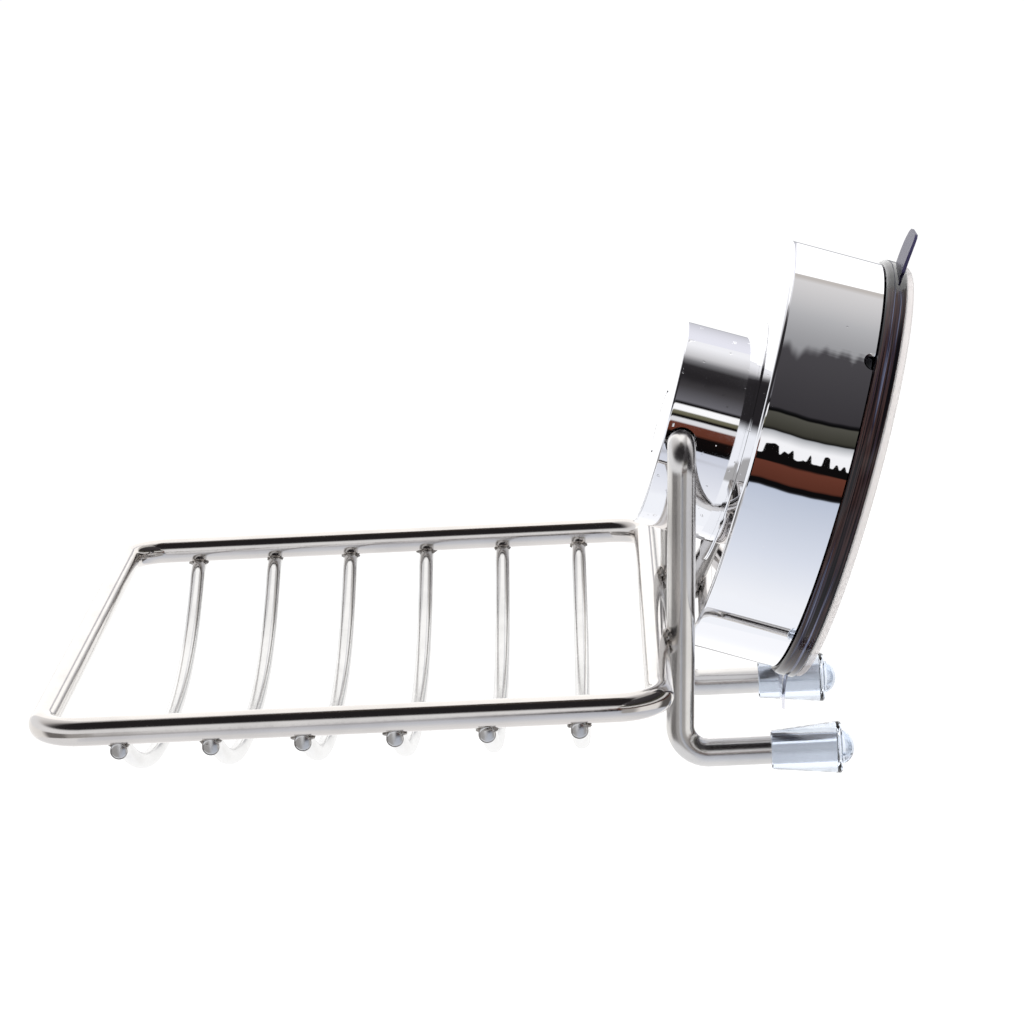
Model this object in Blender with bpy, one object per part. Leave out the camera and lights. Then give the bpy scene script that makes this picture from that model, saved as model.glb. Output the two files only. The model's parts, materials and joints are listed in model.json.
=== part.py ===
"""Suction cup soap holder: a welded wire soap rack that hangs from a twist-lock suction mount.

The origin is the centre of the suction face, where the holder meets the wall. +Z is up, +X runs
towards the wall and the rack reaches out along -X. The rack lies level and the mount leans back,
as the holder hangs when its hanger wires rest on the rim of the dial.
"""
import math

import bmesh
import bpy
from mathutils import Vector

MM = 0.001

# Clearances
GAP = 0.3 * MM
OVERRUN = 5.0 * MM
MERGE_DISTANCE = 0.02 * MM

# Soap rack
TRAY_LENGTH = 107.0 * MM
TRAY_WIDTH = 140.0 * MM
RAIL_D = 5.0 * MM
TRAY_CORNER_R = 7.5 * MM
CROSS_COUNT = 6
CROSS_PITCH = 15.8 * MM
CROSS_D = 3.0 * MM
CROSS_WELD_DEPTH = 1.0 * MM
CROSS_SAG = 15.0 * MM
CROSS_END_REACH = 1.5 * MM
CROSS_SHOULDER = 3.0 * MM
CROSS_BEND_R = 2.5 * MM
SAG_POWER = 2.4

# Hanger wires, one on each side of the hub
HANGER_D = 5.2 * MM
HANGER_SPACING = 50.4 * MM
HANGER_WELD_DEPTH = 0.7 * MM
HANGER_LEAN = math.radians(2.7)
PIVOT_RISE = 35.5 * MM
PIN_BEND_R = 4.6 * MM
PIN_REACH = 15.4 * MM
FOOT_DROP = 21.5 * MM
FOOT_LENGTH = 28.9 * MM
FOOT_BEND_R = 8.0 * MM

# Clear caps on the feet
CAP_LENGTH = 12.9 * MM
CAP_MOUTH_WALL = 0.65 * MM
CAP_FLARE = 1.25 * MM
CAP_FLOOR = 0.4 * MM
CAP_DOME_R = 3.1 * MM
CAP_DOME_RISE = 2.4 * MM

# Suction pad and the film on its back
FILM_T = 1.2 * MM
FILM_R = 39.5 * MM
PAD_R = 40.1 * MM
PAD_T = 3.8 * MM
PAD_EDGE_ROUND = 1.4 * MM
TAB_LENGTH = 6.5 * MM
TAB_WIDTH = 12.0 * MM
TAB_T = 1.2 * MM
TAB_CORNER_R = 3.0 * MM

# Raised boss in the middle of the pad, which the stem lifts
BOSS_R = 13.0 * MM
BOSS_FLOOR = 2.2 * MM
BOSS_ROOF = 2.2 * MM
BOSS_ROUND = 1.2 * MM

# Stem
STEM_R = 4.5 * MM
STEM_HEAD_R = 9.0 * MM
STEM_HEAD_T = 2.2 * MM
STEM_PILOT_DEPTH = 9.0 * MM

# Ring that presses the rim of the pad on the wall
RING_T = 2.6 * MM
RING_WIDTH = 7.0 * MM
RING_WALL = 2.0 * MM
RING_HEIGHT = 7.0 * MM

# Dial housing
DIAL_R = 39.0 * MM
DIAL_FLARE = 0.4 * MM
DIAL_DEPTH = 17.4 * MM
DIAL_WALL = 2.0 * MM
DIAL_FACE_T = 2.2 * MM
DIAL_ROUND = 0.6 * MM
DIAL_SOCKET_WALL = 2.2 * MM
VENT_R = 1.5 * MM
VENT_ANGLE = math.radians(117.0)

# Threaded bush in the middle of the dial
BUSH_R = 9.0 * MM
BUSH_LENGTH = 5.4 * MM

# Washer and hub
WASHER_R = 23.0 * MM
WASHER_T = 0.5 * MM
HUB_R = 19.4 * MM
HUB_LENGTH = 13.4 * MM
HUB_CHAMFER = 0.3 * MM
HUB_SOCKET_DEPTH = 5.3 * MM
HUB_WEB = 3.0 * MM
PIN_COVER = 0.5 * MM
PIVOT_OFFSET = 0.6 * MM

# Hub screw and the plug over it
SCREW_R = 1.5 * MM
SCREW_HEAD_R = 3.4 * MM
SCREW_HEAD_T = 2.0 * MM
SCREW_BITE = 7.0 * MM
PLUG_R = 5.7 * MM

# Facets
WIRE_BEVEL_STEPS = 3
CAP_STEPS = 32
SMALL_STEPS = 28
ROUND_STEPS = 72
ARC_STEPS = 5
CROSS_POINTS = 26
CONTACT_STEPS = 360
HALVINGS = 50
SMOOTH_ANGLE = math.radians(35.0)
QUARTER = math.pi / 2

# Radii that clear their neighbours
STEM_HOLE_R = STEM_R + GAP
SCREW_HOLE_R = SCREW_R + GAP
PIN_HOLE_R = HANGER_D / 2 + GAP
RING_R = DIAL_R - DIAL_WALL - GAP
RING_INNER_R = RING_R - RING_WIDTH

# Distances from the wall, measured along the mount's axis
PAD_BACK = FILM_T + GAP
PAD_FRONT = PAD_BACK + PAD_T
DIAL_BACK = PAD_FRONT + GAP
DIAL_FRONT = DIAL_BACK + DIAL_DEPTH
DIAL_INSIDE = DIAL_FRONT - DIAL_FACE_T
WASHER_BACK = DIAL_FRONT + GAP
HUB_BACK = WASHER_BACK + WASHER_T + GAP
HUB_FRONT = HUB_BACK + HUB_LENGTH
PIVOT_OUT = HUB_FRONT - PIN_COVER - PIN_HOLE_R
HEAD_BACK = PAD_BACK + BOSS_FLOOR + GAP
HEAD_FRONT = HEAD_BACK + STEM_HEAD_T
BOSS_FRONT = HEAD_FRONT + GAP + BOSS_ROOF
SOCKET_FLOOR = HUB_BACK + HUB_SOCKET_DEPTH
STEM_FRONT = SOCKET_FLOOR - GAP
WEB_FRONT = SOCKET_FLOOR + HUB_WEB
SCREW_HEAD_BACK = WEB_FRONT + GAP
SCREW_HEAD_FRONT = SCREW_HEAD_BACK + SCREW_HEAD_T
PLUG_BACK = SCREW_HEAD_FRONT + GAP
BUSH_FRONT = DIAL_INSIDE - GAP
BUSH_BACK = BUSH_FRONT - BUSH_LENGTH

# Places on the rack
CROSS_DROP = (RAIL_D + CROSS_D) / 2 + GAP - CROSS_WELD_DEPTH
CROSS_HALF = TRAY_WIDTH / 2 + CROSS_END_REACH
SAG_HALF = TRAY_WIDTH / 2 - CROSS_SHOULDER
HANGER_X = (RAIL_D + HANGER_D) / 2 + GAP - HANGER_WELD_DEPTH
PIVOT_X = HANGER_X + PIVOT_RISE * math.tan(HANGER_LEAN)
FOOT_TOP_X = HANGER_X - FOOT_DROP * math.tan(HANGER_LEAN)


def clear_scene():
    """Empty the file of objects and of the data they used."""
    for item in list(bpy.data.objects):
        bpy.data.objects.remove(item, do_unlink=True)


def principled(name, color, roughness, metallic=0.0, transmission=0.0):
    """Return a material with one Principled shader."""
    material = bpy.data.materials.new(name)
    material.use_nodes = True
    shader = material.node_tree.nodes["Principled BSDF"]
    shader.inputs["Base Color"].default_value = (*color, 1.0)
    shader.inputs["Roughness"].default_value = roughness
    shader.inputs["Metallic"].default_value = metallic
    shader.inputs["Transmission Weight"].default_value = transmission
    material.diffuse_color = (*color, 1.0)
    return material


def add_empty(name, location, parent=None):
    """Add an empty that carries the pieces of one body."""
    empty = bpy.data.objects.new(name, None)
    empty.location = location
    empty.parent = parent
    bpy.context.scene.collection.objects.link(empty)
    return empty


def add_object(name, mesh, material=None, parent=None):
    """Add a mesh as a named object, shaded smooth up to its sharp edges."""
    mesh.name = name
    if material:
        mesh.materials.clear()
        mesh.materials.append(material)
    mesh.shade_smooth()
    mesh.set_sharp_from_angle(angle=SMOOTH_ANGLE)
    item = bpy.data.objects.new(name, mesh)
    item.parent = parent
    bpy.context.scene.collection.objects.link(item)
    return item


def lathe(name, profile, steps, closed=True):
    """Turn a profile of (radius, height) points about Z. An open profile starts and ends on the axis."""
    bm = bmesh.new()
    verts = [bm.verts.new((radius, 0.0, height)) for radius, height in profile]
    edges = [bm.edges.new(pair) for pair in zip(verts, verts[1:])]
    if closed:
        edges.append(bm.edges.new((verts[-1], verts[0])))
    bmesh.ops.spin(bm, geom=verts + edges, axis=(0, 0, 1), cent=(0, 0, 0), steps=steps,
                   angle=math.tau, use_merge=True)
    bmesh.ops.remove_doubles(bm, verts=bm.verts[:], dist=MERGE_DISTANCE)
    bmesh.ops.recalc_face_normals(bm, faces=bm.faces[:])
    mesh = bpy.data.meshes.new(name)
    bm.to_mesh(mesh)
    bm.free()
    return mesh


def arc(centre, radius, start, end, steps=ARC_STEPS):
    """Return points on an arc from one angle to another."""
    points = []
    for step in range(steps + 1):
        angle = start + (end - start) * step / steps
        points.append((centre[0] + radius * math.cos(angle), centre[1] + radius * math.sin(angle)))
    return points


def rounded_path(corners, radius, steps=ARC_STEPS, cyclic=False):
    """Return a path through the corners with each bend rounded to its own radius."""
    count = len(corners)
    points = []
    for index, corner in enumerate(corners):
        ends = not cyclic and index in (0, count - 1)
        if ends:
            points.append(corner)
            continue
        before = (corners[index - 1] - corner).normalized()
        after = (corners[(index + 1) % count] - corner).normalized()
        half = before.angle(after) / 2
        bend = radius[index] if isinstance(radius, list) else radius
        centre = corner + (before + after).normalized() * (bend / math.sin(half))
        start = corner + before * (bend / math.tan(half)) - centre
        finish = corner + after * (bend / math.tan(half)) - centre
        for step in range(steps + 1):
            points.append(centre + start.normalized().slerp(finish.normalized(), step / steps) * bend)
    return points


def tube_mesh(name, points, diameter, cyclic=False):
    """Return the mesh of a round wire that follows the points."""
    curve = bpy.data.curves.new(name, "CURVE")
    curve.dimensions = "3D"
    curve.bevel_depth = diameter / 2
    curve.bevel_resolution = WIRE_BEVEL_STEPS
    curve.use_fill_caps = not cyclic
    spline = curve.splines.new("POLY")
    spline.points.add(len(points) - 1)
    for place, point in zip(spline.points, points):
        place.co = (*point, 1.0)
    spline.use_cyclic_u = cyclic
    holder = bpy.data.objects.new(name, curve)
    bpy.context.scene.collection.objects.link(holder)
    mesh = bpy.data.meshes.new_from_object(holder.evaluated_get(bpy.context.evaluated_depsgraph_get()))
    bpy.data.objects.remove(holder, do_unlink=True)
    return mesh


def cylinder_mesh(name, radius, length, steps):
    """Return a plain cylinder that rises along Z from its base."""
    return lathe(name, [(0.0, 0.0), (radius, 0.0), (radius, length), (0.0, length)], steps, closed=False)


def cutter(name, mesh, parent=None):
    """Add a hidden solid that only shapes other pieces."""
    item = add_object(name, mesh, parent=parent)
    item.hide_render = True
    item.display_type = "WIRE"
    return item


def shape_with(item, tool, operation):
    """Cut or join one solid with another, exactly."""
    change = item.modifiers.new(tool.name, "BOOLEAN")
    change.operation = operation
    change.solver = "EXACT"
    change.object = tool


def rim_gap(swing):
    """Return the least gap between a hanger wire and the dial's rounded rim.

    swing is the angle between the wire and the plane of the dial's face.
    """
    ring_r = DIAL_R - DIAL_ROUND
    ring_out = DIAL_FRONT - DIAL_ROUND - PIVOT_OUT
    least = math.inf
    for step in range(CONTACT_STEPS):
        turn = QUARTER * step / CONTACT_STEPS
        across = ring_out * math.cos(swing) + (ring_r * math.cos(turn) + PIVOT_OFFSET) * math.sin(swing)
        aside = ring_r * math.sin(turn) - HANGER_SPACING / 2
        least = min(least, math.hypot(across, aside))
    return least - DIAL_ROUND - HANGER_D / 2


def rest_swing():
    """Return the swing at which the hanger wires come to rest on the rim, one gap away from it.

    The search ends at the swing that would lay a wire through the middle of the rim's rounding.
    """
    ring_r = DIAL_R - DIAL_ROUND
    down = math.sqrt(ring_r ** 2 - (HANGER_SPACING / 2) ** 2)
    low = 0.0
    high = math.atan2(PIVOT_OUT - DIAL_FRONT + DIAL_ROUND, down + PIVOT_OFFSET)
    for _ in range(HALVINGS):
        middle = (low + high) / 2
        if rim_gap(middle) > GAP:
            low = middle
        else:
            high = middle
    return low


def cross_depth(y):
    """Return how far a cross wire's axis hangs below the rails at one place across the tray."""
    share = min(abs(y) / SAG_HALF, 1.0)
    return CROSS_DROP + CROSS_SAG * (1.0 - share ** SAG_POWER)


def cross_path():
    """Return the path of a cross wire: flat under the rails, bent down and slung between them."""
    points = []
    for step in range(CROSS_POINTS + 1):
        turn = math.pi * step / CROSS_POINTS
        y = -CROSS_HALF * math.cos(turn)
        lifts = (cross_depth(y - CROSS_BEND_R), cross_depth(y), cross_depth(y + CROSS_BEND_R))
        points.append(Vector((0.0, y, -sum(lifts) / len(lifts))))
    return points


def build_tray(parent, steel):
    """Add the rounded frame and the cross wires welded under it."""
    end_x = -PIVOT_X
    free_x = end_x - TRAY_LENGTH
    half = TRAY_WIDTH / 2
    low = -PIVOT_RISE
    corners = [Vector((end_x, -half, low)), Vector((free_x, -half, low)),
               Vector((free_x, half, low)), Vector((end_x, half, low))]
    loop = rounded_path(corners, TRAY_CORNER_R, cyclic=True)
    add_object("tray_frame", tube_mesh("tray_frame", loop, RAIL_D, cyclic=True), steel, parent)
    seat_mesh = tube_mesh("weld_seat", loop, RAIL_D + 2 * GAP, cyclic=True)
    seat_cutter = cutter("weld_seat_cutter", seat_mesh, parent)

    first_x = end_x - TRAY_LENGTH / 2 - CROSS_PITCH * (CROSS_COUNT - 1) / 2
    for index in range(CROSS_COUNT):
        name = f"cross_wire_{index + 1}"
        wire = add_object(name, tube_mesh(name, cross_path(), CROSS_D), steel, parent)
        wire.location = (first_x + CROSS_PITCH * index, 0.0, low)
        shape_with(wire, seat_cutter, "DIFFERENCE")
    return seat_cutter


def build_hanger(parent, steel, clear, seat_cutter, side, place):
    """Add one hanger wire: a pin in the hub, a straight leg and a foot towards the wall, with its cap."""
    y = side * HANGER_SPACING / 2
    foot_z = -PIVOT_RISE - FOOT_DROP
    foot_x = FOOT_TOP_X - PIVOT_X
    corners = [Vector((0.0, y - side * PIN_REACH, 0.0)), Vector((0.0, y, 0.0)),
               Vector((foot_x, y, foot_z)), Vector((foot_x + FOOT_LENGTH, y, foot_z))]
    path = rounded_path(corners, [0.0, PIN_BEND_R, FOOT_BEND_R, 0.0])
    wire = add_object(f"hanger_wire_{place}", tube_mesh("hanger", path, HANGER_D), steel, parent)
    shape_with(wire, seat_cutter, "DIFFERENCE")

    bore_r = HANGER_D / 2 + GAP
    mouth_r = bore_r + CAP_MOUTH_WALL
    inner_end = CAP_LENGTH - CAP_FLOOR
    dome = []
    for step in range(ARC_STEPS):
        turn = QUARTER * step / ARC_STEPS
        dome.append((CAP_DOME_R * math.cos(turn), CAP_LENGTH + CAP_DOME_RISE * math.sin(turn)))
    dome.append((0.0, CAP_LENGTH + CAP_DOME_RISE))
    profile = [(0.0, inner_end), (bore_r, inner_end), (bore_r, 0.0), (mouth_r, 0.0),
               (mouth_r + CAP_FLARE, CAP_LENGTH)] + dome
    cap = add_object(f"foot_cap_{place}", lathe("cap", profile, CAP_STEPS, closed=False), clear, parent)
    cap.location = (foot_x + FOOT_LENGTH + GAP - inner_end, y, foot_z)
    cap.rotation_euler = (0.0, QUARTER, 0.0)


def build_pad(parent, clear, soft):
    """Add the clear pad with its two pull tabs, and the film on its back."""
    film = [(0.0, 0.0), (FILM_R, 0.0), (FILM_R, FILM_T), (0.0, FILM_T)]
    add_object("gel_film", lathe("film", film, ROUND_STEPS, closed=False), soft, parent)

    inner = BOSS_R + GAP
    edge = PAD_R - PAD_EDGE_ROUND
    profile = [(inner, PAD_BACK), (inner, PAD_FRONT)]
    profile += arc((edge, PAD_FRONT - PAD_EDGE_ROUND), PAD_EDGE_ROUND, QUARTER, 0.0)
    profile += [(PAD_R, PAD_BACK)]
    pad = add_object("suction_pad", lathe("pad", profile, ROUND_STEPS), clear, parent)

    reach = PAD_R + TAB_LENGTH
    half = TAB_WIDTH / 2
    turn = reach - TAB_CORNER_R
    outline = arc((turn, half - TAB_CORNER_R), TAB_CORNER_R, QUARTER, 0.0)
    outline += arc((turn, TAB_CORNER_R - half), TAB_CORNER_R, 0.0, -QUARTER)
    outline += arc((-turn, TAB_CORNER_R - half), TAB_CORNER_R, -QUARTER, -2 * QUARTER)
    outline += arc((-turn, half - TAB_CORNER_R), TAB_CORNER_R, 2 * QUARTER, QUARTER)
    tabs = bmesh.new()
    face = tabs.faces.new([tabs.verts.new((x, y, PAD_BACK + GAP)) for x, y in outline])
    grown = bmesh.ops.extrude_face_region(tabs, geom=[face])
    moved = [item for item in grown["geom"] if isinstance(item, bmesh.types.BMVert)]
    bmesh.ops.translate(tabs, verts=moved, vec=(0.0, 0.0, TAB_T))
    bmesh.ops.recalc_face_normals(tabs, faces=tabs.faces[:])
    mesh = bpy.data.meshes.new("tabs")
    tabs.to_mesh(mesh)
    tabs.free()
    shape_with(pad, cutter("tab_strip", mesh, parent), "UNION")
    core = cylinder_mesh("core", inner, PAD_FRONT + OVERRUN, ROUND_STEPS)
    shape_with(pad, cutter("pad_core_cutter", core, parent), "DIFFERENCE")


def build_ring(parent, plastic):
    """Add the fixed ring that holds the pad's rim to the wall inside the dial."""
    back = DIAL_BACK
    wall_r = RING_INNER_R + RING_WALL
    profile = [(RING_INNER_R, back), (RING_R, back), (RING_R, back + RING_T), (wall_r, back + RING_T),
               (wall_r, back + RING_HEIGHT), (RING_INNER_R, back + RING_HEIGHT)]
    add_object("pressure_ring", lathe("ring", profile, ROUND_STEPS), plastic, parent)


def build_dial(parent, chrome, brass):
    """Add the turned dial housing, open at the back, and the threaded bush in its socket."""
    inner_r = DIAL_R - DIAL_WALL
    rib_in = RING_INNER_R
    rib_out = RING_INNER_R + RING_WALL
    rib_back = DIAL_BACK + RING_HEIGHT + GAP
    socket_in = BUSH_R + GAP
    socket_out = socket_in + DIAL_SOCKET_WALL
    profile = [(STEM_HOLE_R, DIAL_INSIDE), (STEM_HOLE_R, DIAL_FRONT)]
    profile += arc((DIAL_R - DIAL_ROUND, DIAL_FRONT - DIAL_ROUND), DIAL_ROUND, QUARTER, 0.0)
    profile += [(DIAL_R + DIAL_FLARE, DIAL_BACK), (inner_r, DIAL_BACK), (inner_r, DIAL_INSIDE)]
    profile += [(rib_out, DIAL_INSIDE), (rib_out, rib_back), (rib_in, rib_back), (rib_in, DIAL_INSIDE)]
    profile += [(socket_out, DIAL_INSIDE), (socket_out, BUSH_BACK), (socket_in, BUSH_BACK), (socket_in, DIAL_INSIDE)]
    dial = add_object("dial_housing", lathe("dial", profile, ROUND_STEPS), chrome, parent)

    vent = cutter("vent_cutter", cylinder_mesh("vent", VENT_R, DIAL_WALL + OVERRUN, SMALL_STEPS), parent)
    start = inner_r - DIAL_WALL
    vent.location = (-math.cos(VENT_ANGLE) * start, -math.sin(VENT_ANGLE) * start, DIAL_BACK)
    vent.rotation_euler = (0.0, QUARTER, VENT_ANGLE + 2 * QUARTER)
    shape_with(dial, vent, "DIFFERENCE")

    bush = [(STEM_HOLE_R, BUSH_BACK), (BUSH_R, BUSH_BACK), (BUSH_R, BUSH_FRONT), (STEM_HOLE_R, BUSH_FRONT)]
    add_object("thread_bush", lathe("bush", bush, SMALL_STEPS), brass, parent)


def build_stem(parent, clear, steel):
    """Add the stem and the boss of the pad that is moulded round its head."""
    pocket = STEM_HEAD_R + GAP
    profile = [(0.0, PAD_BACK), (BOSS_R, PAD_BACK)]
    profile += arc((BOSS_R - BOSS_ROUND, BOSS_FRONT - BOSS_ROUND), BOSS_ROUND, 0.0, QUARTER)
    profile += [(STEM_HOLE_R, BOSS_FRONT), (STEM_HOLE_R, HEAD_FRONT + GAP), (pocket, HEAD_FRONT + GAP),
                (pocket, HEAD_BACK - GAP), (0.0, HEAD_BACK - GAP)]
    add_object("pad_boss", lathe("boss", profile, SMALL_STEPS, closed=False), clear, parent)

    pilot = STEM_FRONT - STEM_PILOT_DEPTH
    profile = [(0.0, HEAD_BACK), (STEM_HEAD_R, HEAD_BACK), (STEM_HEAD_R, HEAD_FRONT), (STEM_R, HEAD_FRONT),
               (STEM_R, STEM_FRONT), (SCREW_HOLE_R, STEM_FRONT), (SCREW_HOLE_R, pilot), (0.0, pilot)]
    add_object("stem", lathe("stem", profile, SMALL_STEPS, closed=False), steel, parent)


def build_hub(parent, chrome, steel, rubber):
    """Add the washer, the hub with its two pin holes, and the screw and plug in the hub's middle."""
    washer = [(STEM_HOLE_R, WASHER_BACK), (WASHER_R, WASHER_BACK), (WASHER_R, WASHER_BACK + WASHER_T),
              (STEM_HOLE_R, WASHER_BACK + WASHER_T)]
    add_object("hub_washer", lathe("washer", washer, ROUND_STEPS), rubber, parent)

    well_r = PLUG_R + GAP
    profile = [(STEM_HOLE_R, HUB_BACK), (HUB_R - HUB_CHAMFER, HUB_BACK), (HUB_R, HUB_BACK + HUB_CHAMFER),
               (HUB_R, HUB_FRONT - HUB_CHAMFER), (HUB_R - HUB_CHAMFER, HUB_FRONT), (well_r, HUB_FRONT),
               (well_r, WEB_FRONT), (SCREW_HOLE_R, WEB_FRONT), (SCREW_HOLE_R, SOCKET_FLOOR),
               (STEM_HOLE_R, SOCKET_FLOOR)]
    hub = add_object("hub", lathe("hub", profile, ROUND_STEPS), chrome, parent)
    pin_end = HANGER_SPACING / 2 - PIN_REACH - GAP
    for side, place in ((-1, "near"), (1, "far")):
        hole = cylinder_mesh("pin_hole", PIN_HOLE_R, HUB_R + OVERRUN, SMALL_STEPS)
        tool = cutter(f"pin_hole_cutter_{place}", hole, parent)
        tool.location = (PIVOT_OFFSET, side * pin_end, PIVOT_OUT)
        tool.rotation_euler = (-side * QUARTER, 0.0, 0.0)
        shape_with(hub, tool, "DIFFERENCE")

    profile = [(0.0, STEM_FRONT - SCREW_BITE), (SCREW_R, STEM_FRONT - SCREW_BITE), (SCREW_R, SCREW_HEAD_BACK),
               (SCREW_HEAD_R, SCREW_HEAD_BACK), (SCREW_HEAD_R, SCREW_HEAD_FRONT), (0.0, SCREW_HEAD_FRONT)]
    add_object("hub_screw", lathe("screw", profile, SMALL_STEPS, closed=False), steel, parent)
    plug = [(0.0, PLUG_BACK), (PLUG_R, PLUG_BACK), (PLUG_R, HUB_FRONT), (0.0, HUB_FRONT)]
    add_object("hub_plug", lathe("plug", plug, SMALL_STEPS, closed=False), chrome, parent)


def main():
    """Build the holder: the mount on its leaning axis and the rack level on its pivot."""
    clear_scene()
    steel = principled("stainless_wire", (0.62, 0.60, 0.58), 0.22, metallic=1.0)
    chrome = principled("chrome_plate", (0.86, 0.87, 0.89), 0.04, metallic=1.0)
    clear = principled("clear_pvc", (0.92, 0.93, 0.95), 0.08, transmission=0.9)
    soft = principled("gel", (0.96, 0.92, 0.90), 0.25, transmission=0.7)
    plastic = principled("black_plastic", (0.06, 0.06, 0.07), 0.45)
    rubber = principled("washer_plastic", (0.03, 0.03, 0.035), 0.4)
    brass = principled("brass", (0.75, 0.58, 0.28), 0.3, metallic=1.0)

    tilt = rest_swing() + HANGER_LEAN
    mount = add_empty("mount_axis", (0.0, 0.0, 0.0))
    mount.rotation_euler = (0.0, tilt - QUARTER, 0.0)
    out = Vector((-math.cos(tilt), 0.0, math.sin(tilt)))
    up = Vector((math.sin(tilt), 0.0, math.cos(tilt)))
    pivot = out * PIVOT_OUT + up * PIVOT_OFFSET
    rack = add_empty("rack_pivot", pivot)
    print(f"tilt {math.degrees(tilt):.4f} degrees, pivot {pivot.x:.6f} {pivot.y:.6f} {pivot.z:.6f}")

    build_pad(mount, clear, soft)
    build_ring(mount, plastic)
    build_dial(mount, chrome, brass)
    build_stem(mount, clear, steel)
    build_hub(mount, chrome, steel, rubber)
    seat_cutter = build_tray(rack, steel)
    for side, place in ((-1, "near"), (1, "far")):
        build_hanger(rack, steel, clear, seat_cutter, side, place)


main()
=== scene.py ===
"""Suction cup soap holder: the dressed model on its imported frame, with its studio and camera.

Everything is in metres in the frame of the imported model. The rack lies level and the mount leans
back, with the origin in the middle of the suction face.
"""
import json
import logging
import math
from dataclasses import dataclass, field
from enum import Enum
from typing import Any, Sequence

import bmesh
import bpy
import numpy as np
from mathutils import Matrix, Vector

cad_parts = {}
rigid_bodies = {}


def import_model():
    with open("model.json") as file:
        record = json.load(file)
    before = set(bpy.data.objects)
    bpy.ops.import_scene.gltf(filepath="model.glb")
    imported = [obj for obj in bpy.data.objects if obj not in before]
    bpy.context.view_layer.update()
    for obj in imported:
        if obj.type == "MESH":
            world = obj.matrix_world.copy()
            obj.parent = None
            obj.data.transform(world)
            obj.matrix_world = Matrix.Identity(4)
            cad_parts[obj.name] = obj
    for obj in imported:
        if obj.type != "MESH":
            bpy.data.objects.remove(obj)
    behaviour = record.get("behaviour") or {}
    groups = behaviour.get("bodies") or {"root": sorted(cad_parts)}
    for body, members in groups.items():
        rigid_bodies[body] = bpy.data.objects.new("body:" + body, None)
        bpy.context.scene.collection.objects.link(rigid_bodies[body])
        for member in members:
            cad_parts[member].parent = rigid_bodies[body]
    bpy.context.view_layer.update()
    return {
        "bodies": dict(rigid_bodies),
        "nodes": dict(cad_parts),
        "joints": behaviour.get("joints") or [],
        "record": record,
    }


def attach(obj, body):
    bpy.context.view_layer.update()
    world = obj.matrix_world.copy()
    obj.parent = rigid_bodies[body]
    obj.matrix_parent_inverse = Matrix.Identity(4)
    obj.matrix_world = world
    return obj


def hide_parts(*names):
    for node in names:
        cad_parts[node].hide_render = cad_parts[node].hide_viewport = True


MM = 0.001
LOG = logging.getLogger("soap_holder")

Colour = tuple[float, float, float]
Edge = tuple[float, float]
Profile = list[tuple[float, float]]
Bands = tuple[tuple[float, tuple[int, int, int]], ...]

# The mount's directions, as the finishes and the tent use them
MOUNT_OUT = (-0.952057, 0.0, 0.305921)
MOUNT_UP = (0.305921, 0.0, 0.952057)

# Steps of the meshes: points round turned pieces, steps in a wire's bend and along its straight runs
SMALL_TURN = 48
MIDDLE_TURN = 96
LARGE_TURN = 192
BEND_STEPS = 20
WIRE_STEP = 3.0 * MM
CUT_RIM_STEPS = 3

# Radius below which a point of a turned profile lies on the axis
ON_AXIS_R = 1e-7


class Body(Enum):
    """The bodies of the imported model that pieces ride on."""

    BASE = "suction_base"
    DIAL = "dial"
    STEM = "draw_stem"
    RACK = "rack"


class Slot(Enum):
    """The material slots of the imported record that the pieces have."""

    WIRE = "wire"
    PLATE = "plate"
    CLEAR = "clear"
    FILM = "film"
    WASHER = "washer"


class Side(Enum):
    """The two sides of the rack, as signs along Y."""

    NEAR = -1
    FAR = 1

    @property
    def word(self) -> str:
        """Return the side's name as it ends a node's name."""
        return self.name.lower()


def linear(red: float, green: float, blue: float) -> Colour:
    """Turn a colour of 0 to 255 as it is seen into the linear values that shaders take.

    Args:
        red: Red as seen, 0 to 255.
        green: Green as seen, 0 to 255.
        blue: Blue as seen, 0 to 255.

    Returns:
        The three linear values.
    """
    shares = [value / 255 for value in (red, green, blue)]
    low = [share / 12.92 for share in shares]
    high = [((share + 0.055) / 1.055) ** 2.4 for share in shares]
    return tuple(a if share <= 0.04045 else b for share, a, b in zip(shares, low, high))


# Shader expressions


class Value:
    """One output socket that takes part in plain arithmetic."""

    def __init__(self, graph: "Graph", socket: bpy.types.NodeSocket) -> None:
        """Wrap a socket of a graph."""
        self.graph = graph
        self.socket = socket

    def __add__(self, other: "Value | float") -> "Value":
        """Return self + other."""
        return self.graph.maths("ADD", self, other)

    def __radd__(self, other: float) -> "Value":
        """Return other + self."""
        return self.graph.maths("ADD", other, self)

    def __sub__(self, other: "Value | float") -> "Value":
        """Return self - other."""
        return self.graph.maths("SUBTRACT", self, other)

    def __rsub__(self, other: float) -> "Value":
        """Return other - self."""
        return self.graph.maths("SUBTRACT", other, self)

    def __mul__(self, other: "Value | float") -> "Value":
        """Return self * other."""
        return self.graph.maths("MULTIPLY", self, other)

    def __rmul__(self, other: float) -> "Value":
        """Return other * self."""
        return self.graph.maths("MULTIPLY", other, self)


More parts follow.
